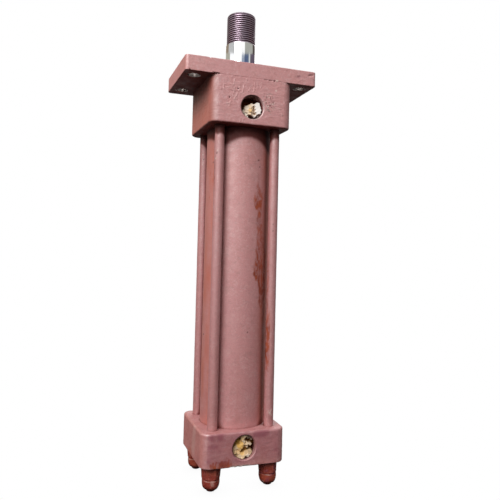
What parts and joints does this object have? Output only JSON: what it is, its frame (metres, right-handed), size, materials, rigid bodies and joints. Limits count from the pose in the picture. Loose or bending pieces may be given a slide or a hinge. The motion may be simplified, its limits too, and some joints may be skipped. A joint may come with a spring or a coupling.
{
  "type": "hydraulic cylinder",
  "caption": "Tie-rod hydraulic cylinder with a rectangular front flange, two side ports and a threaded rod end, drawn fully retracted.",
  "frame": {"origin": "on the rod's axis, level with the lower ends of the tie rods, which is the bottom centre of the box", "axes": "+Z along the rod towards its threaded end; the two port faces look along -Y; +X along the flange's long side"},
  "size_m": [0.158, 0.098, 0.552],
  "materials": {
    "casing_primer": "red-oxide primer, brushed on, satin, with rust and chips",
    "nut_paint": "dark red-brown gloss primer",
    "hard_chrome": "ground and polished hard chrome; the thread is bare dark steel",
    "machined_steel": "turned steel",
    "screw_steel": "black oxide, oiled",
    "bronze": "turned bronze",
    "piston_iron": "turned cast iron",
    "seal_rubber": "moulded nitrile rubber",
    "seal_urethane": "moulded polyurethane",
    "filled_plastic": "filled PTFE or phenolic",
    "paper": "crumpled waste paper"
  },
  "bodies": {
    "casing": {"barrel_end_seal_cap": "seal_rubber", "barrel_end_seal_head": "seal_rubber", "barrel_tube": "casing_primer", "cap_block": "casing_primer", "flange_plate": "casing_primer", "flange_screw_front_left": "screw_steel", "flange_screw_front_right": "screw_steel", "flange_screw_rear_left": "screw_steel", "flange_screw_rear_right": "screw_steel", "gland_bush": "bronze", "gland_o_ring": "seal_rubber", "gland_retainer_plate": "machined_steel", "head_block": "casing_primer", "lock_nut_front_left": "nut_paint", "lock_nut_front_right": "nut_paint", "lock_nut_rear_left": "nut_paint", "lock_nut_rear_right": "nut_paint", "port_wad_lower": "paper", "port_wad_upper": "paper", "retainer_screw_front": "screw_steel", "retainer_screw_left": "screw_steel", "retainer_screw_rear": "screw_steel", "retainer_screw_right": "screw_steel", "rod_seal": "seal_urethane", "rod_wear_ring": "filled_plastic", "tie_rod_front_left": "casing_primer", "tie_rod_front_right": "casing_primer", "tie_rod_nut_front_left": "nut_paint", "tie_rod_nut_front_right": "nut_paint", "tie_rod_nut_rear_left": "nut_paint", "tie_rod_nut_rear_right": "nut_paint", "tie_rod_rear_left": "casing_primer", "tie_rod_rear_right": "casing_primer", "wiper_seal": "seal_rubber"},
    "piston_packing": {"piston_seal": "seal_urethane", "piston_wear_ring_lower": "filled_plastic", "piston_wear_ring_upper": "filled_plastic"},
    "rod_assembly": {"piston": "piston_iron", "piston_nut": "machined_steel", "piston_o_ring": "seal_rubber", "piston_rod": "hard_chrome"}
  },
  "joints": [
    {"name": "rod_slide", "type": "slide", "parent": "casing", "child": "piston_packing", "axis": [0, 0, 1], "range_m": [0, 0.3]},
    {"name": "rod_spin", "type": "hinge", "parent": "piston_packing", "child": "rod_assembly", "pos_m": [0, 0, 0], "axis": [0, 0, 1], "continuous": true}
  ]
}
